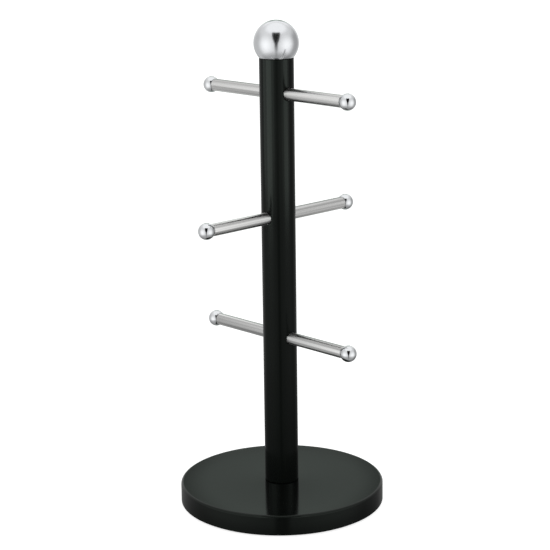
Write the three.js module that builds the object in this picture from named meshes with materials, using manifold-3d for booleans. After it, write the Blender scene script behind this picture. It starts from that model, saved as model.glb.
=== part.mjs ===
// Mug tree: a heavy round base, a black tubular post, three pairs of opposite steel arms with end
// balls, and a steel ball on top. Millimetres, +Z up, origin at the centre of the underside.
// The top and bottom pairs of arms lie along X, the middle pair along Y.
import * as THREE from 'three';
import { mergeVertices } from 'three/addons/utils/BufferGeometryUtils.js';
import Module from 'manifold-3d';

const wasm = await Module();
wasm.setup();

// ---- Driving dimensions ----

const GAP = 0.3; // clearance left between two separate pieces

const TOTAL_HEIGHT = 360;
const BASE_DIAMETER = 152;
const BASE_HEIGHT = 16;
const POST_DIAMETER = 25;
const POST_WALL = 1.2;
const FINIAL_DIAMETER = 32.5;
const FINIAL_WALL = 1.2;

const LOWEST_ARM_HEIGHT = 128;
const ARM_PITCH = 90;
const ARM_REACH = 70; // from the post's axis to the centre of an end ball
const ROD_DIAMETER = 9;
const BALL_DIAMETER = 12;

// Base: cover, ballast and pad
const COVER_WALL = 1.2;
const COVER_EDGE_RADIUS = 2;
const COVER_LIP_RADIUS = 0.5;
const PAD_PROUD = 0.8; // how far the pad stands below the cover's lip
const PAD_THICKNESS = 2;
const ACCESS_HOLE_DIAMETER = 32;
const BALLAST_PLATE_THICKNESS = 7;
const BALLAST_RIM_WIDTH = 4.5;
const BALLAST_BOSS_DIAMETER = 42;
const RECESS_DIAMETER = 26;
const RECESS_DEPTH = 8;

// Fasteners
const BOLT_DIAMETER = 6;
const BOLT_LENGTH = 25;
const BOLT_HEAD_DIAMETER = 10.5;
const BOLT_HEAD_HEIGHT = 3.3;
const BOLT_HEAD_CROWN = 1.8; // radius that rounds the head's rim
const BOLT_SOCKET_ACROSS_FLATS = 4;
const BOLT_SOCKET_DEPTH = 2;
const WASHER_DIAMETER = 18;
const WASHER_THICKNESS = 1.6;
const STUD_DIAMETER = 6;
const STUD_LENGTH = 16;
const THREAD_CHAMFER = 0.6;

// Pieces inside the post and the top ball
const FOOT_PLUG_LENGTH = 20;
const TOP_PLUG_LENGTH = 14;
const PLUG_CHAMFER = 0.8;
const INSERT_THICKNESS = 6;
const INSERT_DIAMETER = 21;
const BLOCK_LENGTH = 16;
const BLOCK_SEAT = 8.5; // from the post's axis to the flat that a rod's shoulder pulls against

// Arms
const TAIL_DIAMETER = 5;
const TAIL_LENGTH = 7;
const NOSE_DIAMETER = 4;
const NOSE_LENGTH = 5.5;
const ROD_CHAMFER = 0.35;
const TUBE_CHAMFER = 0.3;

// Facets round a full turn
const BASE_FACETS = 64;
const POST_FACETS = 32;
const ROD_FACETS = 20;
const SCREW_FACETS = 20;
const HEX_SIDES = 6;

// Steps along an arc of a profile
const EDGE_STEPS = 3;
const LIP_STEPS = 2;
const BALL_STEPS = 6; // from a ball's widest section to its pole
const FINIAL_STEPS = 9;

// ---- Worked out from them ----

const BASE_RADIUS = BASE_DIAMETER / 2;
const POST_RADIUS = POST_DIAMETER / 2;
const BORE_RADIUS = POST_RADIUS - POST_WALL;
const FINIAL_RADIUS = FINIAL_DIAMETER / 2;
const ROD_RADIUS = ROD_DIAMETER / 2;
const BALL_RADIUS = BALL_DIAMETER / 2;
const COVER_UNDERSIDE = BASE_HEIGHT - COVER_WALL;
const COVER_INNER_RADIUS = BASE_RADIUS - COVER_WALL;
const PAD_RADIUS = COVER_INNER_RADIUS - GAP;
const BALLAST_BOTTOM = PAD_THICKNESS + GAP;
const BALLAST_TOP = COVER_UNDERSIDE - GAP;
const BALLAST_RADIUS = COVER_INNER_RADIUS - 2 * GAP;
const RECESS_TOP = BALLAST_BOTTOM + RECESS_DEPTH;
const BOLT_RADIUS = BOLT_DIAMETER / 2;
const BOLT_HOLE_RADIUS = BOLT_RADIUS + GAP;
const WASHER_TOP = RECESS_TOP - GAP;
const BOLT_HEAD_TOP = WASHER_TOP - WASHER_THICKNESS - GAP;
const POST_BOTTOM = BASE_HEIGHT + GAP;
const FINIAL_CENTRE = TOTAL_HEIGHT - FINIAL_RADIUS;
const FINIAL_SEAT = FINIAL_CENTRE - section(FINIAL_RADIUS, POST_RADIUS);
const POST_TOP = FINIAL_SEAT - GAP;
const PLUG_RADIUS = BORE_RADIUS - GAP;
const STUD_RADIUS = STUD_DIAMETER / 2;
const BALL_SEAT = ARM_REACH - section(BALL_RADIUS, ROD_RADIUS);
const ROD_END = BALL_SEAT - GAP;
const ROD_SHOULDER = BLOCK_SEAT + GAP;
const QUARTER = Math.PI / 2;

// ---- Shapes ----

// Radius of a ball's round section at a distance from its centre, and likewise the distance at
// which the section has a given radius.
function section(ballRadius, distance) {
  return Math.sqrt(ballRadius ** 2 - distance ** 2);
}

// Points [radius, height] of an arc about [r, z], from one angle to another, both ends included.
function arc(r, z, radius, from, to, steps) {
  const points = [];
  for (let i = 0; i <= steps; i += 1) {
    const angle = from + ((to - from) * i) / steps;
    points.push([r + radius * Math.cos(angle), z + radius * Math.sin(angle)]);
  }
  return points;
}

// A solid of revolution about +Z from [radius, height] points that run anticlockwise.
function turned(points, facets) {
  const profile = points.map(([r, z]) => new THREE.Vector2(Math.max(r, 0), z));
  return new THREE.LatheGeometry(profile, facets).rotateX(QUARTER);
}

// A ring of revolution: the profile closes on itself.
function turnedRing(points, facets) {
  return turned([...points, points[0]], facets);
}

// A ball's outline about a centre on the axis, from the flat of the given radius up to the pole.
function ballOutline(centre, radius, flatRadius, steps) {
  const flat = -Math.acos(flatRadius / radius);
  const belowSteps = Math.ceil((steps * -flat) / QUARTER);
  return [
    ...arc(0, centre, radius, flat, 0, belowSteps),
    ...arc(0, centre, radius, 0, QUARTER, steps).slice(1),
  ];
}

// A cylinder along +X, centred on the origin.
function crossBar(radius, length, facets) {
  return new THREE.CylinderGeometry(radius, radius, length, facets).rotateZ(QUARTER);
}

function toSolid(geometry) {
  const bare = geometry.clone();
  bare.deleteAttribute('normal');
  bare.deleteAttribute('uv');
  const merged = mergeVertices(bare);
  return new wasm.Manifold(
    new wasm.Mesh({
      numProp: 3,
      vertProperties: merged.attributes.position.array,
      triVerts: new Uint32Array(merged.index.array),
    })
  );
}

function toGeometry(solid) {
  const mesh = solid.getMesh();
  const geometry = new THREE.BufferGeometry();
  geometry.setAttribute('position', new THREE.BufferAttribute(mesh.vertProperties, 3));
  geometry.setIndex(new THREE.BufferAttribute(mesh.triVerts, 1));
  geometry.computeVertexNormals();
  return geometry;
}

function cut(geometry, tools) {
  let solid = toSolid(geometry);
  for (const tool of tools) {
    solid = solid.subtract(toSolid(tool));
  }
  return toGeometry(solid);
}

// ---- Materials ----

const FINISHES = {
  glossBlack: { color: 0x161817, roughness: 0.12, metalness: 0.0 },
  satinBlack: { color: 0x141615, roughness: 0.35, metalness: 0.0 },
  brushedSteel: { color: 0xb9bbba, roughness: 0.35, metalness: 1.0 },
  polishedChrome: { color: 0xd6d9da, roughness: 0.06, metalness: 1.0 },
  satinSteel: { color: 0xcdcfd1, roughness: 0.22, metalness: 1.0 },
  castIron: { color: 0x3c3b3a, roughness: 0.75, metalness: 0.6 },
  rubber: { color: 0x1a1a1a, roughness: 0.9, metalness: 0.0 },
  zinc: { color: 0xa9aaa6, roughness: 0.4, metalness: 1.0 },
};

function piece(name, geometry, finish) {
  const mesh = new THREE.Mesh(geometry, new THREE.MeshStandardMaterial(FINISHES[finish]));
  mesh.name = name;
  return mesh;
}

// ---- Base ----

function makeCover() {
  const outerEdge = BASE_RADIUS - COVER_EDGE_RADIUS;
  const outerLip = BASE_RADIUS - COVER_LIP_RADIUS;
  const innerEdgeRadius = COVER_EDGE_RADIUS - COVER_WALL;
  const lip = PAD_PROUD;
  const outline = [
    [BOLT_HOLE_RADIUS, COVER_UNDERSIDE],
    ...arc(outerEdge, BASE_HEIGHT - COVER_EDGE_RADIUS, innerEdgeRadius, QUARTER, 0, LIP_STEPS),
    [COVER_INNER_RADIUS, lip],
    ...arc(outerLip, lip + COVER_LIP_RADIUS, COVER_LIP_RADIUS, -QUARTER, 0, LIP_STEPS),
    ...arc(outerEdge, BASE_HEIGHT - COVER_EDGE_RADIUS, COVER_EDGE_RADIUS, 0, QUARTER, EDGE_STEPS),
    [BOLT_HOLE_RADIUS, BASE_HEIGHT],
  ];
  return piece('base_cover', turnedRing(outline, BASE_FACETS), 'glossBlack');
}

// A cast plate with a raised rim and a raised boss, which both carry the cover.
function makeBallast() {
  const plateTop = BALLAST_BOTTOM + BALLAST_PLATE_THICKNESS;
  const rimInside = BALLAST_RADIUS - BALLAST_RIM_WIDTH;
  const bossRadius = BALLAST_BOSS_DIAMETER / 2;
  const draft = 0.8;
  const edge = 1;
  const outline = [
    [RECESS_DIAMETER / 2, BALLAST_BOTTOM],
    [BALLAST_RADIUS, BALLAST_BOTTOM],
    [BALLAST_RADIUS, BALLAST_TOP - edge],
    [BALLAST_RADIUS - edge, BALLAST_TOP],
    [rimInside, BALLAST_TOP],
    [rimInside - draft, plateTop],
    [bossRadius + draft, plateTop],
    [bossRadius, BALLAST_TOP],
    [BOLT_HOLE_RADIUS, BALLAST_TOP],
    [BOLT_HOLE_RADIUS, RECESS_TOP],
    [RECESS_DIAMETER / 2, RECESS_TOP],
  ];
  return piece('base_weight', turnedRing(outline, BASE_FACETS), 'castIron');
}

function makePad() {
  const inside = ACCESS_HOLE_DIAMETER / 2;
  const outline = [
    [inside, 0],
    [PAD_RADIUS, 0],
    [PAD_RADIUS, PAD_THICKNESS],
    [inside, PAD_THICKNESS],
  ];
  return piece('base_pad', turnedRing(outline, BASE_FACETS), 'rubber');
}

function makeWasher() {
  const bottom = WASHER_TOP - WASHER_THICKNESS;
  const outline = [
    [BOLT_HOLE_RADIUS, bottom],
    [WASHER_DIAMETER / 2, bottom],
    [WASHER_DIAMETER / 2, WASHER_TOP],
    [BOLT_HOLE_RADIUS, WASHER_TOP],
  ];
  return piece('base_washer', turnedRing(outline, SCREW_FACETS), 'zinc');
}

// A button-head screw, head down, with a hexagon socket in the head.
function makeBolt() {
  const headBottom = BOLT_HEAD_TOP - BOLT_HEAD_HEIGHT;
  const headRadius = BOLT_HEAD_DIAMETER / 2;
  const crown = BOLT_HEAD_CROWN;
  const tip = BOLT_HEAD_TOP + BOLT_LENGTH;
  const screw = turned(
    [
      [0, headBottom],
      [headRadius - crown, headBottom],
      ...arc(headRadius - crown, headBottom + crown, crown, -QUARTER, 0, EDGE_STEPS).slice(1),
      [headRadius, BOLT_HEAD_TOP],
      [BOLT_RADIUS, BOLT_HEAD_TOP],
      [BOLT_RADIUS, tip - THREAD_CHAMFER],
      [BOLT_RADIUS - THREAD_CHAMFER, tip],
      [0, tip],
    ],
    SCREW_FACETS
  );
  const socketRadius = BOLT_SOCKET_ACROSS_FLATS / Math.sqrt(3);
  const socket = new THREE.CylinderGeometry(
    socketRadius, socketRadius, 2 * BOLT_SOCKET_DEPTH, HEX_SIDES
  );
  socket.rotateX(QUARTER).translate(0, 0, headBottom);
  return piece('base_bolt', cut(screw, [socket]), 'zinc');
}

// ---- Post ----

function armLevels() {
  return [
    { name: 'bottom', z: LOWEST_ARM_HEIGHT, turn: 0, ends: ['right', 'left'] },
    { name: 'middle', z: LOWEST_ARM_HEIGHT + ARM_PITCH, turn: QUARTER, ends: ['back', 'front'] },
    { name: 'top', z: LOWEST_ARM_HEIGHT + 2 * ARM_PITCH, turn: 0, ends: ['right', 'left'] },
  ];
}

function makePostTube() {
  const tube = turnedRing(
    [
      [BORE_RADIUS, POST_BOTTOM],
      [POST_RADIUS - TUBE_CHAMFER, POST_BOTTOM],
      [POST_RADIUS, POST_BOTTOM + TUBE_CHAMFER],
      [POST_RADIUS, POST_TOP - TUBE_CHAMFER],
      [POST_RADIUS - TUBE_CHAMFER, POST_TOP],
      [BORE_RADIUS, POST_TOP],
    ],
    POST_FACETS
  );
  const drills = armLevels().map((level) =>
    crossBar(ROD_RADIUS + GAP, 2 * POST_DIAMETER, ROD_FACETS)
      .rotateZ(level.turn)
      .translate(0, 0, level.z)
  );
  return piece('post_tube', cut(tube, drills), 'satinBlack');
}

// A turned plug with a bore along its axis.
function makePlug(name, length, boreRadius) {
  const outline = [
    [boreRadius, 0],
    [PLUG_RADIUS - PLUG_CHAMFER, 0],
    [PLUG_RADIUS, PLUG_CHAMFER],
    [PLUG_RADIUS, length - PLUG_CHAMFER],
    [PLUG_RADIUS - PLUG_CHAMFER, length],
    [boreRadius, length],
  ];
  return piece(name, turnedRing(outline, SCREW_FACETS), 'zinc');
}

// A block inside the tube, bored across, with a flat seat round each mouth of the bore.
function makeArmBlock(level) {
  const half = BLOCK_LENGTH / 2;
  const body = turned(
    [
      [0, -half],
      [PLUG_RADIUS - PLUG_CHAMFER, -half],
      [PLUG_RADIUS, PLUG_CHAMFER - half],
      [PLUG_RADIUS, half - PLUG_CHAMFER],
      [PLUG_RADIUS - PLUG_CHAMFER, half],
      [0, half],
    ],
    SCREW_FACETS
  );
  const tools = [crossBar(TAIL_DIAMETER / 2 + GAP, POST_DIAMETER, SCREW_FACETS)];
  for (const side of [-1, 1]) {
    const seat = crossBar(ROD_RADIUS + GAP, POST_DIAMETER, ROD_FACETS);
    tools.push(seat.translate(side * (BLOCK_SEAT + POST_RADIUS), 0, 0));
  }
  const block = piece(`arm_block_${level.name}`, cut(body, tools), 'zinc');
  block.rotation.z = level.turn;
  block.position.z = level.z;
  return block;
}

// ---- Arms: each is made along +Z from the post's axis, then laid level ----

function makeRod(name) {
  const tail = TAIL_DIAMETER / 2;
  const nose = NOSE_DIAMETER / 2;
  const outline = [
    [0, ROD_SHOULDER - TAIL_LENGTH],
    [tail, ROD_SHOULDER - TAIL_LENGTH],
    [tail, ROD_SHOULDER],
    [ROD_RADIUS, ROD_SHOULDER],
    [ROD_RADIUS, ROD_END - ROD_CHAMFER],
    [ROD_RADIUS - ROD_CHAMFER, ROD_END],
    [nose, ROD_END],
    [nose, ROD_END + NOSE_LENGTH],
    [0, ROD_END + NOSE_LENGTH],
  ];
  return piece(name, turned(outline, ROD_FACETS), 'brushedSteel');
}

// A ball with a flat against the rod and a blind hole for the rod's nose.
function makeEndBall(name) {
  const holeRadius = NOSE_DIAMETER / 2 + GAP;
  const holeEnd = ROD_END + NOSE_LENGTH + GAP;
  const outline = [
    [0, holeEnd],
    [holeRadius, holeEnd],
    [holeRadius, BALL_SEAT],
    ...ballOutline(ARM_REACH, BALL_RADIUS, ROD_RADIUS, BALL_STEPS),
  ];
  return piece(name, turned(outline, ROD_FACETS), 'polishedChrome');
}

function makeArm(level, end, turn) {
  const arm = new THREE.Group();
  arm.add(makeRod(`arm_rod_${level.name}_${end}`));
  arm.add(makeEndBall(`arm_ball_${level.name}_${end}`));
  arm.rotation.set(0, QUARTER, turn, 'ZYX');
  arm.position.z = level.z;
  return arm;
}

// ---- Top ball ----

// A hollow ball, open at the flat where it sits on the post.
function makeFinial() {
  const innerRadius = FINIAL_RADIUS - FINIAL_WALL;
  const mouthRadius = section(innerRadius, FINIAL_CENTRE - FINIAL_SEAT);
  const outline = [
    ...ballOutline(FINIAL_CENTRE, innerRadius, mouthRadius, FINIAL_STEPS).reverse(),
    ...ballOutline(FINIAL_CENTRE, FINIAL_RADIUS, POST_RADIUS, FINIAL_STEPS),
  ];
  return piece('finial_ball', turned(outline, POST_FACETS), 'satinSteel');
}

function makeFinialInsert() {
  const inside = STUD_RADIUS + GAP;
  const radius = INSERT_DIAMETER / 2;
  const outline = [
    [inside, FINIAL_SEAT],
    [radius, FINIAL_SEAT],
    [radius, FINIAL_SEAT + INSERT_THICKNESS],
    [inside, FINIAL_SEAT + INSERT_THICKNESS],
  ];
  return piece('finial_insert', turnedRing(outline, SCREW_FACETS), 'zinc');
}

function makeFinialStud() {
  const top = FINIAL_SEAT + INSERT_THICKNESS - 1;
  const bottom = top - STUD_LENGTH;
  const outline = [
    [0, bottom],
    [STUD_RADIUS - THREAD_CHAMFER, bottom],
    [STUD_RADIUS, bottom + THREAD_CHAMFER],
    [STUD_RADIUS, top - THREAD_CHAMFER],
    [STUD_RADIUS - THREAD_CHAMFER, top],
    [0, top],
  ];
  return piece('finial_stud', turned(outline, SCREW_FACETS), 'zinc');
}

// ---- Assembly ----

function makeBase() {
  const base = new THREE.Group();
  base.add(makeCover(), makeBallast(), makePad(), makeWasher(), makeBolt());
  return base;
}

function makePost() {
  const post = new THREE.Group();
  const footPlug = makePlug('post_foot_plug', FOOT_PLUG_LENGTH, BOLT_HOLE_RADIUS);
  footPlug.position.z = POST_BOTTOM;
  const topPlug = makePlug('post_top_plug', TOP_PLUG_LENGTH, STUD_RADIUS + GAP);
  topPlug.position.z = POST_TOP - TOP_PLUG_LENGTH;
  post.add(makePostTube(), footPlug, topPlug);
  return post;
}

function makeArms() {
  const arms = new THREE.Group();
  for (const level of armLevels()) {
    arms.add(makeArmBlock(level));
    level.ends.forEach((end, i) => {
      arms.add(makeArm(level, end, level.turn + i * Math.PI));
    });
  }
  return arms;
}

function makeTop() {
  const top = new THREE.Group();
  top.add(makeFinial(), makeFinialInsert(), makeFinialStud());
  return top;
}

const mugTree = new THREE.Group();
mugTree.add(makeBase(), makePost(), makeArms(), makeTop());

export default mugTree;
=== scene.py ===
"""The mug tree in a plain white studio: fine meshes and materials round the CAD frame.

Metres, +Z up. Outer sizes are read from the frame. Walls, edge radii and the sizes that the
frame's boxes don't show are named below, in step with the CAD.
"""

import math

import bmesh
import bpy
from mathutils import Matrix, Vector


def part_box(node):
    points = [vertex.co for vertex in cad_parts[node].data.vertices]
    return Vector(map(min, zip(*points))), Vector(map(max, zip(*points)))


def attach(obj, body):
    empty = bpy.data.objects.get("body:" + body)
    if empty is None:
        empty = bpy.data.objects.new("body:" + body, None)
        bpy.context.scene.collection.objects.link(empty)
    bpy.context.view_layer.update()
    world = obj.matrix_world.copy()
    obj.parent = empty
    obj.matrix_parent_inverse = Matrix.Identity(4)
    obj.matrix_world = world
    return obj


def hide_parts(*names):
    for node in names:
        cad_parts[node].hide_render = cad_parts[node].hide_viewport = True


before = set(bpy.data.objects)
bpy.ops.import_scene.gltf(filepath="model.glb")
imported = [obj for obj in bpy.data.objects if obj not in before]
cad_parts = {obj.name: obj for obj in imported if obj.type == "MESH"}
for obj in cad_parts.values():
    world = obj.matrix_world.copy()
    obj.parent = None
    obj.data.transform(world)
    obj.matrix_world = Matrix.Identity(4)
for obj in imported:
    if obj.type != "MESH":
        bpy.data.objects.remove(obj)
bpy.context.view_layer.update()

MM = 0.001

# ---- Fineness of the meshes ----

BASE_SEGMENTS = 256
BALLAST_SEGMENTS = 128
POST_COLUMNS = 96
ROD_SEGMENTS = 64
BALL_SEGMENTS = 96
FINIAL_SEGMENTS = 160
SCREW_SEGMENTS = 72
SMOOTH_BELOW = math.radians(32)

# ---- Walls, edge radii and hidden sizes ----

SCREW_HOLE = 3.3 * MM
COVER_WALL = 1.2 * MM
COVER_TOP_RADIUS = 1.9 * MM
CROWN_DROP = 0.4 * MM
CROWN_WIDTH = 18.0 * MM
CROWN_STEPS = 16
COVER_LIP_RADIUS = 0.5 * MM
COVER_HOLE_EDGE = 0.2 * MM
PAD_OPENING = 16 * MM
PAD_EDGE = 0.4 * MM
BALLAST_RECESS = 13 * MM
BALLAST_HUB = 21 * MM
BALLAST_RIM = 4.5 * MM
BALLAST_DRAFT = 0.8 * MM
BALLAST_PLATE_HEIGHT = 7 * MM
BALLAST_RECESS_HEIGHT = 8 * MM
HARDWARE_EDGE = 0.25 * MM
BOLT_SHANK = 3 * MM
BOLT_HEAD_HEIGHT = 3.3 * MM
BOLT_HEAD_EDGE = 1.8 * MM
SOCKET_SIDES = 6
SOCKET_RADIUS = 2 * MM
SOCKET_DEPTH = 2 * MM
THREAD_PITCH = 1.0 * MM
THREAD_DEPTH = 0.35 * MM
TUBE_WALL = 1.2 * MM
TUBE_EDGE = 0.3 * MM
DRILL_EDGE = 0.25 * MM
DRILL_CLEARANCE = 0.3 * MM
ROD_SHOULDER = 8.8 * MM
ROD_TAIL = 2.5 * MM
ROD_NOSE = 2 * MM
ROD_EDGE = 0.35 * MM
PIN_EDGE = 0.3 * MM
BALL_GAP = 0.3 * MM
BALL_EDGE = 0.3 * MM
FINIAL_EDGE = 0.35 * MM
FINIAL_WALL = 1.2 * MM

# ---- Meshes ----


def rounded(outline, steps=5):
    """Points (r, z) of an open or closed outline whose corners (r, z, radius) become arcs."""
    points = []
    count = len(outline)
    for i, corner in enumerate(outline):
        here = Vector(corner[:2])
        radius = corner[2] if len(corner) > 2 else 0
        if not radius:
            points.append(tuple(here))
            continue
        back = (Vector(outline[i - 1][:2]) - here).normalized()
        ahead = (Vector(outline[(i + 1) % count][:2]) - here).normalized()
        half = back.angle(ahead) / 2
        centre = here + (back + ahead).normalized() * (radius / math.sin(half))
        start = here + back * (radius / math.tan(half)) - centre
        end = here + ahead * (radius / math.tan(half)) - centre
        for k in range(steps + 1):
            spoke = start.slerp(end, k / steps).normalized()
            points.append(tuple(centre + spoke * radius))
    return points


def arc(radius, centre, start, end, steps):
    """Points of an arc about (0, centre), from one angle in radians to another."""
    points = []
    for i in range(steps + 1):
        angle = start + (end - start) * i / steps
        points.append((max(radius * math.cos(angle), 0.0), centre + radius * math.sin(angle)))
    return points


def finish_mesh(bm, name):
    """Turns a bmesh into a smooth shaded object in the scene, its sharp edges kept."""
    bmesh.ops.remove_doubles(bm, verts=bm.verts, dist=1e-7)
    bmesh.ops.recalc_face_normals(bm, faces=bm.faces)
    for face in bm.faces:
        face.smooth = True
    for edge in bm.edges:
        edge.smooth = len(edge.link_faces) == 2 and edge.calc_face_angle(0) < SMOOTH_BELOW
    mesh = bpy.data.meshes.new(name)
    bm.to_mesh(mesh)
    bm.free()
    piece = bpy.data.objects.new(name, mesh)
    bpy.context.scene.collection.objects.link(piece)
    return piece


def ring(bm, r, z, segments, sides=0):
    """A ring of vertices; with sides, a polygon whose flats lie at r."""
    if r < 1e-9:
        return [bm.verts.new((0, 0, z))]
    verts = []
    for i in range(segments):
        angle = math.tau * i / segments
        reach = r
        if sides:
            slice_angle = math.tau / sides
            reach = r / math.cos(angle % slice_angle - slice_angle / 2)
        verts.append(bm.verts.new((reach * math.cos(angle), reach * math.sin(angle), z)))
    return verts


def skin(bm, a, b):
    """Faces between two rings, either of which may be a pole."""
    count = max(len(a), len(b))
    for i in range(count):
        j = (i + 1) % count
        loop = [a[i % len(a)], a[j % len(a)], b[j % len(b)], b[i % len(b)]]
        corners = [v for k, v in enumerate(loop) if v is not loop[k - 1]]
        if len(corners) > 2:
            bm.faces.new(corners)


def turned(name, outline, segments, closed=False):
    """A body of revolution about Z. Outline points are (r, z) or (r, z, sides)."""
    bm = bmesh.new()
    rings = [ring(bm, p[0], p[1], segments, *p[2:]) for p in outline]
    for a, b in zip(rings, rings[1:]):
        skin(bm, a, b)
    if closed:
        skin(bm, rings[-1], rings[0])
    return finish_mesh(bm, name)


def drilled_tube(name, bore, radius, low, high, drills, drill_radius):
    """A tube along Z with round holes square to it. Drills are (column, height) pairs."""
    spread = POST_COLUMNS // 12  # columns from a hole's axis to the border of its patch
    half_height = 1.45 * drill_radius
    patch_rows = 12
    levels = sorted({z for _, z in drills})
    heights = [low + TUBE_EDGE]
    for z in levels:
        start = heights[-1]
        stop = z - half_height
        heights += [start + (stop - start) * k / 6 for k in range(1, 6)]
        heights += [stop + 2 * half_height * k / patch_rows for k in range(patch_rows + 1)]
    top = high - TUBE_EDGE
    start = heights[-1]
    heights += [start + (top - start) * k / 4 for k in range(1, 5)]

    def inside(column, z):
        """Whether a grid cell or vertex lies strictly in some hole's patch."""
        for c, drill_z in drills:
            off = (column - c + POST_COLUMNS / 2) % POST_COLUMNS - POST_COLUMNS / 2
            if abs(off) < spread - 1e-6 and abs(z - drill_z) < half_height - 1e-6:
                return True
        return False

    bm = bmesh.new()

    def surface(r):
        """The skin at one radius, open where the patches are. Returns its grid of vertices."""
        grid = {}
        for row, z in enumerate(heights):
            for column in range(POST_COLUMNS):
                if not inside(column, z):
                    angle = math.tau * column / POST_COLUMNS
                    place = (r * math.cos(angle), r * math.sin(angle), z)
                    grid[column, row] = bm.verts.new(place)
        for row in range(len(heights) - 1):
            middle = (heights[row] + heights[row + 1]) / 2
            for column in range(POST_COLUMNS):
                if inside(column + 0.5, middle):
                    continue
                after = (column + 1) % POST_COLUMNS
                cell = [(column, row), (after, row), (after, row + 1), (column, row + 1)]
                bm.faces.new([grid[key] for key in cell])
        return grid

    def at(turn, z, r, u, w, depth=0.0):
        """The place on the skin at u across and w above a hole's axis, sunk by depth."""
        reach = math.sqrt(r * r - u * u) - depth
        x = reach * math.cos(turn) - u * math.sin(turn)
        y = reach * math.sin(turn) + u * math.cos(turn)
        return (x, y, z + w)

    def bore_hole(grid, r, column, z, edge):
        """Fills a patch in to its hole, whose edge is rounded. Returns the innermost loop."""
        turn = math.tau * column / POST_COLUMNS
        first = min(k for k, h in enumerate(heights) if abs(h - z) < half_height + 1e-6)
        last = first + patch_rows
        lower = [(column + k, first) for k in range(-spread, spread)]
        right = [(column + spread, k) for k in range(first, last)]
        upper = [(column + k, last) for k in range(spread, -spread, -1)]
        left = [(column - spread, k) for k in range(last, first, -1)]
        border = lower + right + upper + left
        loop = [grid[c % POST_COLUMNS, row] for c, row in border]
        flat = []
        for c, row in border:
            u = r * math.sin(math.tau * (c - column) / POST_COLUMNS)
            flat.append(Vector((u, heights[row] - z)))
        rim = drill_radius + edge
        loops = [loop]
        # Loops closer and closer to the hole, then round its edge
        for share in (0.6, 0.3, 0.12, 0.0):
            verts = []
            for p in flat:
                q = p.normalized() * rim
                u, w = q.lerp(p, share)
                verts.append(bm.verts.new(at(turn, z, r, u, w)))
            loops.append(verts)
        steps = 4 if edge else 0
        for k in range(1, steps + 1):
            swing = math.pi / 2 * k / steps
            reach = drill_radius + edge * (1 - math.sin(swing))
            depth = edge * (1 - math.cos(swing))
            verts = []
            for p in flat:
                u, w = p.normalized() * reach
                verts.append(bm.verts.new(at(turn, z, r, u, w, depth)))
            loops.append(verts)
        for a, b in zip(loops, loops[1:]):
            skin(bm, a, b)
        return loops[-1]

    outer = surface(radius)
    inner = surface(bore)
    for column, z in drills:
        mouth = bore_hole(outer, radius, column, z, DRILL_EDGE)
        back = bore_hole(inner, bore, column, z, 0.0)
        skin(bm, mouth, back)
    last_row = len(heights) - 1
    for row, end in ((0, low), (last_row, high)):
        previous = [outer[c, row] for c in range(POST_COLUMNS)]
        side = 1 if end > low else -1
        for k in range(1, 5):
            swing = math.pi / 2 * k / 4
            r = radius - TUBE_EDGE * (1 - math.cos(swing))
            z = end - side * TUBE_EDGE * (1 - math.sin(swing))
            following = ring(bm, r, z, POST_COLUMNS)
            skin(bm, previous, following)
            previous = following
        flat_end = ring(bm, bore, end, POST_COLUMNS)
        skin(bm, previous, flat_end)
        skin(bm, flat_end, [inner[c, row] for c in range(POST_COLUMNS)])
    return finish_mesh(bm, name)


# ---- Node helpers ----


class Wire:
    """A shader socket on which ordinary arithmetic builds math nodes."""

    def __init__(self, tree, socket):
        self.tree = tree
        self.socket = socket

    def math(self, operation, *others):
        node = self.tree.nodes.new("ShaderNodeMath")
        node.operation = operation
        for socket, value in zip(node.inputs, (self,) + others):
            plug(self.tree, socket, value)
        return Wire(self.tree, node.outputs[0])

    def __add__(self, other):
        return self.math("ADD", other)

    def __sub__(self, other):
        return self.math("SUBTRACT", other)

    def __mul__(self, other):
        return self.math("MULTIPLY", other)

    def clip(self, low, high):
        return self.math("MAXIMUM", low).math("MINIMUM", high)

    def rise(self, low, high, start=0.0, end=1.0):
        """From start at low to end at high, eased, and level beyond them."""
        node = self.tree.nodes.new("ShaderNodeMapRange")
        node.interpolation_type = "SMOOTHSTEP"
        for socket, value in zip(node.inputs, (self, low, high, start, end)):
            plug(self.tree, socket, value)
        return Wire(self.tree, node.outputs[0])

    def toward(self, other, share):
        """This value at share 0, the other one at share 1."""
        return self * (share * -1.0 + 1.0) + share * other


def plug(tree, socket, value):
    """Sets a socket to a number or colour, or links a wire to it."""
    if isinstance(value, Wire):
        tree.links.new(value.socket, socket)
    elif hasattr(value, "__len__") and len(value) == 3 and socket.type == "RGBA":
        socket.default_value = (*value, 1.0)
    else:
        socket.default_value = value


def add(tree, kind, inputs=None, output=0, **settings):
    """A new node with its settings and inputs. Returns a wire from one of its outputs."""
    node = tree.nodes.new("ShaderNode" + kind)
    for key, value in settings.items():
        setattr(node, key, value)
    for key, value in (inputs or {}).items():
        plug(tree, node.inputs[key], value)
    return Wire(tree, node.outputs[output])


def material(name, inputs):
    """A material with one principled shader. Inputs is a function from its tree to inputs."""
    made = bpy.data.materials.new(name)
    made.use_nodes = True
    tree = made.node_tree
    tree.nodes.clear()
    shader = add(tree, "BsdfPrincipled", inputs(tree))
    out = tree.nodes.new("ShaderNodeOutputMaterial")
    tree.links.new(shader.socket, out.inputs["Surface"])
    return made


def stretched(tree, scale):
    """Object coordinates in metres, scaled along each axis."""
    place = add(tree, "TexCoord", output="Object")
    return add(tree, "Mapping", {"Vector": place, "Scale": scale})


def noise(tree, vector, scale, detail):
    return add(tree, "TexNoise", {"Vector": vector, "Scale": scale, "Detail": detail})


def blend(tree, factor, a, b):
    """Colour a where factor is 0, b where it is 1."""
    node = tree.nodes.new("ShaderNodeMix")
    node.data_type = "RGBA"
    # Its sockets share their names with those of the other data types, so numbers pick them
    plug(tree, node.inputs[0], factor)
    plug(tree, node.inputs[6], a)
    plug(tree, node.inputs[7], b)
    return Wire(tree, node.outputs[2])


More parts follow.
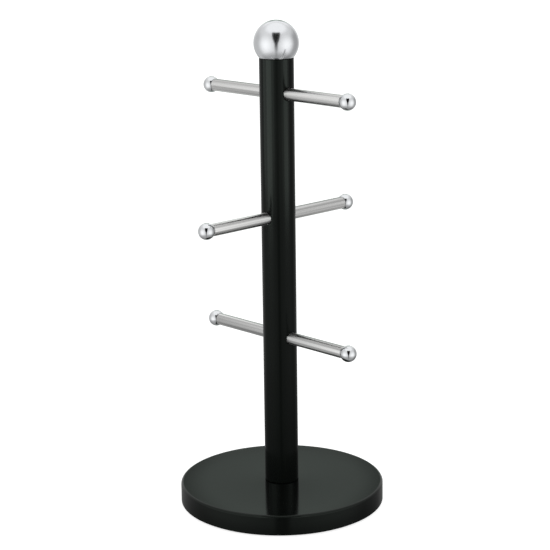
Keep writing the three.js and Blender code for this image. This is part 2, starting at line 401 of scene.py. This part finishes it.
def bump(tree, height, distance):
    return add(tree, "Bump", {"Height": height, "Distance": distance, "Strength": 1.0})


# ---- Materials ----


def gloss_black(tree):
    place = stretched(tree, (1, 1, 1))
    peel = noise(tree, place, 260, 1.0)
    cloud = noise(tree, place, 14, 2.0)
    darker, lighter = (0.0020, 0.0025, 0.0022), (0.0028, 0.0033, 0.0030)
    return {
        "Base Color": blend(tree, cloud, darker, lighter),
        "Roughness": cloud.rise(0.3, 0.7, 0.09, 0.11),
        "Specular IOR Level": 0.21,
        "Specular Tint": (0.86, 1.0, 0.90, 1.0),
        "Normal": bump(tree, peel, 0.004 * MM),
    }


def satin_black(tree):
    place = stretched(tree, (1, 1, 1))
    grain = noise(tree, place, 1500, 2.0)
    cloud = noise(tree, place, 30, 2.0)
    darker, lighter = (0.0018, 0.0021, 0.0019), (0.0026, 0.0030, 0.0027)
    return {
        "Base Color": blend(tree, cloud, darker, lighter),
        "Roughness": cloud.rise(0.3, 0.7, 0.15, 0.18),
        "Specular IOR Level": 0.065,
        "Specular Tint": (0.92, 1.0, 0.95, 1.0),
        "Normal": bump(tree, grain, 0.002 * MM),
    }


def brushed_steel(tree):
    fine = noise(tree, stretched(tree, (1100, 1100, 6)), 1.0, 0.0)
    broad = noise(tree, stretched(tree, (360, 360, 3)), 1.0, 1.0)
    streaks = fine * 0.2 + broad * 0.8
    darker, lighter = (0.50, 0.50, 0.495), (0.90, 0.90, 0.89)
    return {
        "Base Color": blend(tree, streaks.rise(0.38, 0.62), darker, lighter),
        "Metallic": 1.0,
        "Roughness": broad.rise(0.3, 0.7, 0.24, 0.32),
        "Anisotropic": 0.75,
        "Anisotropic Rotation": 0.25,
        "Tangent": add(tree, "Tangent", direction_type="RADIAL", axis="Z"),
        "Normal": bump(tree, streaks, 0.02 * MM),
    }


def polished_chrome(tree):
    cloud = noise(tree, stretched(tree, (1, 1, 1)), 180, 2.0)
    return {
        "Base Color": blend(tree, cloud, (0.72, 0.735, 0.75), (0.77, 0.785, 0.80)),
        "Metallic": 1.0,
        "Roughness": cloud.rise(0.3, 0.7, 0.03, 0.06),
    }


def satin_polish(tree):
    rings = noise(tree, stretched(tree, (40, 40, 2500)), 1.0, 2.0)
    cloud = noise(tree, stretched(tree, (1, 1, 1)), 60, 2.0)
    return {
        "Base Color": blend(tree, cloud, (0.715, 0.728, 0.745), (0.775, 0.79, 0.81)),
        "Metallic": 1.0,
        "Roughness": cloud.rise(0.3, 0.7, 0.14, 0.18),
        "Normal": bump(tree, rings, 0.002 * MM),
    }


def cast_iron(tree):
    place = stretched(tree, (1, 1, 1))
    sand = noise(tree, place, 900, 4.0)
    cloud = noise(tree, place, 40, 3.0)
    return {
        "Base Color": blend(tree, cloud, (0.030, 0.029, 0.028), (0.060, 0.058, 0.055)),
        "Metallic": 0.4,
        "Roughness": cloud.rise(0.3, 0.7, 0.6, 0.8),
        "Normal": bump(tree, sand, 0.15 * MM),
    }


def black_rubber(tree):
    place = stretched(tree, (1, 1, 1))
    grain = noise(tree, place, 2200, 2.0)
    cloud = noise(tree, place, 50, 2.0)
    return {
        "Base Color": blend(tree, cloud, (0.012, 0.012, 0.012), (0.020, 0.020, 0.020)),
        "Roughness": cloud.rise(0.3, 0.7, 0.75, 0.9),
        "Normal": bump(tree, grain, 0.06 * MM),
    }


def zinc_plate(tree):
    place = stretched(tree, (1, 1, 1))
    cloud = noise(tree, place, 350, 3.0)
    return {
        "Base Color": blend(tree, cloud, (0.50, 0.51, 0.52), (0.62, 0.62, 0.60)),
        "Metallic": 1.0,
        "Roughness": cloud.rise(0.3, 0.7, 0.28, 0.45),
        "Normal": bump(tree, cloud, 0.01 * MM),
    }


FINISHES = {
    "gloss_black_enamel": gloss_black,
    "satin_black_enamel": satin_black,
    "brushed_stainless": brushed_steel,
    "polished_chrome": polished_chrome,
    "satin_polished_steel": satin_polish,
    "cast_iron": cast_iron,
    "black_rubber": black_rubber,
    "zinc_plated_steel": zinc_plate,
}
finishes = {slot: material(slot, build) for slot, build in FINISHES.items()}


def fit(piece, finish, node):
    """Gives a piece its material and body, and hides the CAD node that it stands for."""
    piece.data.materials.clear()
    piece.data.materials.append(finishes[finish])
    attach(piece, "root")
    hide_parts(node)


# ---- Base ----


def make_cover():
    low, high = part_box("base_cover")
    radius = high.x
    inner = radius - COVER_WALL
    outline = [
        (SCREW_HOLE, high.z, COVER_HOLE_EDGE),
        (SCREW_HOLE, high.z - COVER_WALL),
        (inner, high.z - COVER_WALL, COVER_TOP_RADIUS - COVER_WALL),
        (inner, low.z),
        (radius, low.z, COVER_LIP_RADIUS),
        (radius, high.z - CROWN_DROP, COVER_TOP_RADIUS),
    ]
    points = rounded(outline, 8)
    # The crown, from the rounded edge in to the flat middle
    for k in range(CROWN_STEPS + 1):
        share = 1 - k / CROWN_STEPS
        reach = radius - COVER_TOP_RADIUS - CROWN_WIDTH * (1 - share)
        points.append((reach, high.z - CROWN_DROP * share * share))
    cover = turned("cover", points, BASE_SEGMENTS, closed=True)
    fit(cover, "gloss_black_enamel", "base_cover")


def make_pad():
    low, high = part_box("base_pad")
    outline = [
        (PAD_OPENING, low.z, PAD_EDGE),
        (high.x, low.z, PAD_EDGE),
        (high.x, high.z),
        (PAD_OPENING, high.z),
    ]
    pad = turned("pad", rounded(outline, 4), BALLAST_SEGMENTS, closed=True)
    fit(pad, "black_rubber", "base_pad")


def make_ballast():
    low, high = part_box("base_weight")
    plate = low.z + BALLAST_PLATE_HEIGHT
    recess = low.z + BALLAST_RECESS_HEIGHT
    outline = [
        (BALLAST_RECESS, low.z, 0.6 * MM),
        (high.x, low.z, 0.8 * MM),
        (high.x, high.z, 1.0 * MM),
        (high.x - BALLAST_RIM, high.z),
        (high.x - BALLAST_RIM - BALLAST_DRAFT, plate),
        (BALLAST_HUB + BALLAST_DRAFT, plate),
        (BALLAST_HUB, high.z),
        (SCREW_HOLE, high.z),
        (SCREW_HOLE, recess),
        (BALLAST_RECESS, recess, 0.5 * MM),
    ]
    ballast = turned("ballast", rounded(outline, 4), BALLAST_SEGMENTS, closed=True)
    fit(ballast, "cast_iron", "base_weight")


def make_washer():
    low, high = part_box("base_washer")
    outline = [
        (SCREW_HOLE, low.z, HARDWARE_EDGE),
        (high.x, low.z, HARDWARE_EDGE),
        (high.x, high.z, HARDWARE_EDGE),
        (SCREW_HOLE, high.z, HARDWARE_EDGE),
    ]
    washer = turned("washer", rounded(outline, 3), SCREW_SEGMENTS, closed=True)
    fit(washer, "zinc_plated_steel", "base_washer")


def make_bolt():
    low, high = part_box("base_bolt")
    head = high.x
    shoulder = low.z + BOLT_HEAD_HEIGHT
    dome = rounded([(0, low.z), (head, low.z, BOLT_HEAD_EDGE), (head, shoulder)], 8)
    outline = [
        (0.0, low.z + SOCKET_DEPTH + 0.2 * MM),
        (SOCKET_RADIUS, low.z + SOCKET_DEPTH, SOCKET_SIDES),
        (SOCKET_RADIUS, low.z + 0.2 * MM, SOCKET_SIDES),
        (SOCKET_RADIUS + 0.35 * MM, low.z),
        *dome[1:-1],
        (head, shoulder - 0.1 * MM),
        (head - 0.1 * MM, shoulder),
        (BOLT_SHANK, shoulder),
    ]
    root = BOLT_SHANK - THREAD_DEPTH
    z = shoulder + 1.5 * MM
    while z < high.z - 1.6 * MM:
        outline += [(BOLT_SHANK, z), (root, z + THREAD_PITCH / 2)]
        z += THREAD_PITCH
        outline.append((BOLT_SHANK, z))
    outline += [(BOLT_SHANK - 0.5 * MM, high.z), (0.0, high.z)]
    bolt = turned("bolt", outline, SCREW_SEGMENTS)
    fit(bolt, "zinc_plated_steel", "base_bolt")


# ---- Post, arms and top ball ----

ARM_TURNS = {"right": 0, "back": 90, "left": 180, "front": 270}
# How far each rod is rolled about its own axis, which turns other streaks to the front
ARM_LEVELS = {
    "bottom": {"right": 337, "left": 247},
    "middle": {"back": 337, "front": 22},
    "top": {"right": 90, "left": 315},
}


def arm_height(level, end):
    low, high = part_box(f"arm_rod_{level}_{end}")
    return (low.z + high.z) / 2


def make_post():
    low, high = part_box("post_tube")
    rod_low, rod_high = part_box("arm_rod_top_right")
    rod_radius = (rod_high.z - rod_low.z) / 2
    drills = []
    for level, ends in ARM_LEVELS.items():
        for end in ends:
            column = POST_COLUMNS * ARM_TURNS[end] // 360
            drills.append((column, arm_height(level, end)))
    post = drilled_tube(
        "post",
        high.x - TUBE_WALL,
        high.x,
        low.z,
        high.z,
        drills,
        rod_radius + DRILL_CLEARANCE,
    )
    fit(post, "satin_black_enamel", "post_tube")


def lay(piece, height, turn, roll=0.0):
    """Lays a piece made along +Z level, pointing out at a turn and rolled about its axis."""
    own = Matrix.Rotation(math.radians(roll), 4, "Z")
    level = Matrix.Rotation(math.radians(90), 4, "Y")
    spin = Matrix.Rotation(math.radians(turn), 4, "Z")
    piece.matrix_world = Matrix.Translation((0, 0, height)) @ spin @ level @ own


def make_arms():
    low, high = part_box("arm_rod_top_right")
    ball_low, ball_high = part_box("arm_ball_top_right")
    rod = (high.z - low.z) / 2
    ball = (ball_high.z - ball_low.z) / 2
    centre = ball_high.x - ball
    seat = centre - math.sqrt(ball**2 - rod**2)
    end = seat - BALL_GAP
    rod_outline = [
        (0.0, low.x),
        (ROD_TAIL, low.x, PIN_EDGE),
        (ROD_TAIL, ROD_SHOULDER),
        (rod, ROD_SHOULDER),
        (rod, end, ROD_EDGE),
        (ROD_NOSE, end),
        (ROD_NOSE, high.x, PIN_EDGE),
        (0.0, high.x),
    ]
    hole = ROD_NOSE + BALL_GAP
    flat = math.asin((seat - centre) / ball)
    edge = math.radians(4)
    above = arc(ball, centre, flat + edge, 0, 1)[0]
    rim = rounded([(hole, seat), (rod, seat, BALL_EDGE), above])
    ball_outline = [
        (0.0, high.x + BALL_GAP),
        (hole, high.x + BALL_GAP),
        (hole, seat),
        *rim[1:-1],
        *arc(ball, centre, flat + edge, math.pi / 2, 36),
    ]
    for level, ends in ARM_LEVELS.items():
        for side, roll in ends.items():
            height = arm_height(level, side)
            rod_piece = turned(f"rod_{level}_{side}", rounded(rod_outline), ROD_SEGMENTS)
            ball_piece = turned(f"end_ball_{level}_{side}", ball_outline, BALL_SEGMENTS)
            lay(rod_piece, height, ARM_TURNS[side], roll)
            lay(ball_piece, height, ARM_TURNS[side])
            fit(rod_piece, "brushed_stainless", f"arm_rod_{level}_{side}")
            fit(ball_piece, "polished_chrome", f"arm_ball_{level}_{side}")


def make_finial():
    low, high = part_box("finial_ball")
    radius = high.x
    centre = high.z - radius
    inner = radius - FINIAL_WALL
    flat = math.asin((low.z - centre) / radius)
    mouth = math.asin((low.z - centre) / inner)
    edge = math.radians(2.5)
    lip = (inner * math.cos(mouth), low.z)
    corner = (radius * math.cos(flat), low.z, FINIAL_EDGE)
    above = arc(radius, centre, flat + edge, 0, 1)[0]
    rim = rounded([lip, corner, above])
    outline = [
        *arc(inner, centre, math.pi / 2, mouth, 32),
        *rim[1:-1],
        *arc(radius, centre, flat + edge, math.pi / 2, 64),
    ]
    finial = turned("finial", outline, FINIAL_SEGMENTS)
    fit(finial, "satin_polished_steel", "finial_ball")


make_cover()
make_pad()
make_ballast()
make_washer()
make_bolt()
make_post()
make_arms()
make_finial()

# The sealed pieces that have no mesh above show their CAD solid
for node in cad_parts.values():
    if not node.hide_render:
        node.data.materials.clear()
        node.data.materials.append(finishes["zinc_plated_steel"])

# ---- Camera ----

CAMERA_AZIMUTH = math.radians(46.1971)
CAMERA_DISTANCE = 1.2284
CAMERA_HEIGHT = 0.4803
CAMERA_DOWN = math.radians(14.0065)
CAMERA_YAW = math.radians(-0.1441)
CAMERA_ROLL = math.radians(-0.7938)
CAMERA_LENS = 113.003
CAMERA_SENSOR = 36


def make_camera():
    s, c = math.sin(CAMERA_AZIMUTH), math.cos(CAMERA_AZIMUTH)
    rightward = Vector((c, s, 0))
    inward = Vector((-s, c, 0))
    ahead = (
        rightward * math.sin(CAMERA_YAW) * math.cos(CAMERA_DOWN)
        + inward * math.cos(CAMERA_YAW) * math.cos(CAMERA_DOWN)
        - Vector((0, 0, math.sin(CAMERA_DOWN)))
    )
    right = ahead.cross(Vector((0, 0, 1))).normalized()
    up = right.cross(ahead)
    level_right = right * math.cos(CAMERA_ROLL) + up * math.sin(CAMERA_ROLL)
    level_up = up * math.cos(CAMERA_ROLL) - right * math.sin(CAMERA_ROLL)
    data = bpy.data.cameras.new("camera")
    data.lens = CAMERA_LENS
    data.sensor_width = CAMERA_SENSOR
    camera = bpy.data.objects.new("camera", data)
    bpy.context.scene.collection.objects.link(camera)
    turn = Matrix((level_right, level_up, -ahead)).transposed().to_4x4()
    place = Vector((s * CAMERA_DISTANCE, -c * CAMERA_DISTANCE, CAMERA_HEIGHT))
    camera.matrix_world = Matrix.Translation(place) @ turn
    bpy.context.scene.camera = camera


make_camera()

# ---- Studio ----

WHITE = 1.0
FLOOR_HALF = 6.0
FLOOR_DROP = 0.3 * MM
FLOOR_GLOW = 0.80
SOFTBOX_DISTANCE = 0.9
SOFTBOX_COLOUR = (0.91, 1.0, 0.94)


def make_studio():
    """Soft white walls, roof and floor at a distance, with a dark slot where the camera is.

    Azimuth and height are in degrees, and azimuth 0 is the side where the camera stands.
    """
    world = bpy.data.worlds.new("studio")
    world.use_nodes = True
    bpy.context.scene.world = world
    tree = world.node_tree
    tree.nodes.clear()
    sky = add(tree, "TexCoord", output="Generated")
    axes = tree.nodes.new("ShaderNodeSeparateXYZ")
    plug(tree, axes.inputs[0], sky)
    x, y, z = (Wire(tree, socket) for socket in axes.outputs)
    s, c = math.sin(CAMERA_AZIMUTH), math.cos(CAMERA_AZIMUTH)
    front = x * s - y * c
    side = x * c + y * s
    azimuth = side.math("ARCTAN2", front) * math.degrees(1)
    around = azimuth.math("ABSOLUTE")
    height = z.clip(-1.0, 1.0).math("ARCSINE") * math.degrees(1)
    above = height.math("MAXIMUM", 0.0)

    # Walls, dimmer low at the sides, with a brighter spot on each side of the camera
    sides = around.rise(72.0, 112.0) * height.rise(14.0, 38.0, 1.0, 0.1)
    drop = azimuth.rise(-90.0, 90.0, -0.28, -0.48)
    walls = azimuth.rise(-30.0, 30.0, 0.84, 0.80) * (sides * drop + 1.0)
    spot = (around - 54.0).math("POWER", 2.0) + (height + 7.0).math("POWER", 2.0)
    walls = walls + spot.math("SQRT").rise(0.0, 54.0, 0.46, 0.0)

    # Behind the object, where the top of the base mirrors a dim band
    dim = around.rise(166.0, 174.0) * height.rise(10.0, 15.0)
    dim = dim * height.rise(26.0, 40.0, 1.0, 0.0)
    level = height.rise(12.0, 30.0, 0.25, 0.70) * around.rise(173.5, 177.8, 0.5, 1.0)
    back = height.rise(-14.0, 6.0, 0.62, 0.80) + height.rise(26.0, 40.0, 0.0, 0.35)
    back = back.toward(level, dim)
    rear = around.rise(132.0, 156.0) * height.rise(38.0, 52.0, 1.0, 0.0)
    walls = walls.toward(back, rear)
    light = walls.toward(1.12, height.rise(40.0, 62.0))

    # The dark slot, a wedge that widens upwards and fades downwards
    slot_width = above * 0.42 + 8.0
    offset = around - slot_width
    slot = offset.rise(-3.5, 3.5, 1.0, 0.0) * height.rise(54.0, 61.0, 1.0, 0.0)
    slot = slot * height.rise(-60.0, 10.0, 0.3, 1.0)
    light = light.toward(0.01, slot)

    # Plain white to the camera, and slightly green behind the object
    seen = add(tree, "LightPath", output="Is Camera Ray")
    strength = light.toward(WHITE, seen)
    behind = around.rise(160.0, 174.0) * height.rise(28.0, 40.0, 1.0, 0.0)
    behind = behind.toward(0.0, seen)
    tint = blend(tree, behind, (1.0, 1.0, 1.0), (0.89, 1.0, 0.93))
    shader = add(tree, "Background", {"Color": tint, "Strength": strength})
    out = tree.nodes.new("ShaderNodeOutputWorld")
    tree.links.new(shader.socket, out.inputs["Surface"])


def floor_material():
    """White seen from above and clear from below. In reflections it darkens near the base: a
    painted shadow of the base on the floor.
    """
    made = bpy.data.materials.new("floor")
    made.use_nodes = True
    tree = made.node_tree
    tree.nodes.clear()
    place = stretched(tree, (1, 1, 1))
    mottle = noise(tree, place, 6, 2.0)
    paper = blend(tree, mottle, (0.48, 0.48, 0.48), (0.50, 0.50, 0.50))
    matt = add(tree, "BsdfDiffuse", {"Color": paper})
    glow = add(tree, "Emission", {"Color": (1.0, 1.0, 1.0), "Strength": FLOOR_GLOW})
    lit = add(tree, "AddShader")
    tree.links.new(matt.socket, lit.socket.node.inputs[0])
    tree.links.new(glow.socket, lit.socket.node.inputs[1])
    seen = add(tree, "LightPath", output="Is Camera Ray")
    under = add(tree, "NewGeometry", output="Backfacing")
    # Metres from the axis of the post; the darkening they drive is a painted shadow of the
    # base on the floor, seen only in reflections
    reach = add(tree, "VectorMath", {0: place}, "Value", operation="LENGTH")
    shade = reach.rise(0.074, 0.11, 0.28, 0.50) + reach.rise(0.13, 0.50, 0.0, 0.50)
    shade = shade.toward(1.0, reach.rise(0.05, 0.07, 1.0, 0.0))
    shade = shade.toward(1.0, seen.math("MAXIMUM", under))
    # The painted shadow, as a filter on what reflections see through the floor
    veil = blend(tree, shade, (0.0, 0.0, 0.0), (1.0, 1.0, 1.0))
    clear = add(tree, "BsdfTransparent", {"Color": veil})
    hidden = (seen * -1.0 + 1.0).math("MAXIMUM", under)
    both = add(tree, "MixShader", {0: hidden})
    tree.links.new(lit.socket, both.socket.node.inputs[1])
    tree.links.new(clear.socket, both.socket.node.inputs[2])
    out = tree.nodes.new("ShaderNodeOutputMaterial")
    tree.links.new(both.socket, out.inputs["Surface"])
    return made


def make_floor():
    half = FLOOR_HALF
    bm = bmesh.new()
    corners = [(-half, -half), (half, -half), (half, half), (-half, half)]
    bm.faces.new([bm.verts.new((x, y, -FLOOR_DROP)) for x, y in corners])
    mesh = bpy.data.meshes.new("floor")
    bm.to_mesh(mesh)
    bm.free()
    floor = bpy.data.objects.new("floor", mesh)
    bpy.context.scene.collection.objects.link(floor)
    floor.data.materials.append(floor_material())
    floor.visible_diffuse = False
    floor.visible_transmission = False
    floor.visible_shadow = False


def make_softbox(name, turn, width, low, high, radiance, receiver):
    """A panel facing the post, turned some degrees from the camera, that lights one piece."""
    data = bpy.data.lights.new(name, "AREA")
    data.shape = "RECTANGLE"
    data.size = width
    data.size_y = high - low
    data.color = SOFTBOX_COLOUR
    data.energy = radiance * math.pi * width * (high - low)
    panel = bpy.data.objects.new(name, data)
    bpy.context.scene.collection.objects.link(panel)
    bearing = CAMERA_AZIMUTH + math.radians(turn)
    outward = Vector((math.sin(bearing), -math.cos(bearing), 0))
    upward = Vector((0, 0, 1))
    spin = Matrix((upward.cross(outward), upward, outward)).transposed().to_4x4()
    place = outward * SOFTBOX_DISTANCE + upward * (low + high) / 2
    panel.matrix_world = Matrix.Translation(place) @ spin
    panel.visible_camera = False
    receivers = bpy.data.collections.new(name)
    receivers.objects.link(bpy.data.objects[receiver])
    panel.light_linking.receiver_collection = receivers


def make_softboxes():
    """Panels for the highlights down the post, and one for the top of the base from behind."""
    low, high = 0.035, 0.60
    make_softbox("softbox left", -54, 0.58, low, high, 3.5, "post")
    make_softbox("softbox left rim", -60, 1.50, low, high, 2.5, "post")
    make_softbox("softbox right", 59, 0.48, low, high, 3.1, "post")
    make_softbox("softbox right rim", 58, 0.94, low, high, 1.3, "post")
    make_softbox("softbox front", 6, 1.10, low, high, 0.6, "post")
    make_softbox("softbox base", 0, 1.00, 0.16, 0.66, 0.55, "cover")


make_studio()
make_floor()
make_softboxes()

bpy.context.scene.view_settings.view_transform = "Standard"
bpy.context.scene.view_settings.look = "None"
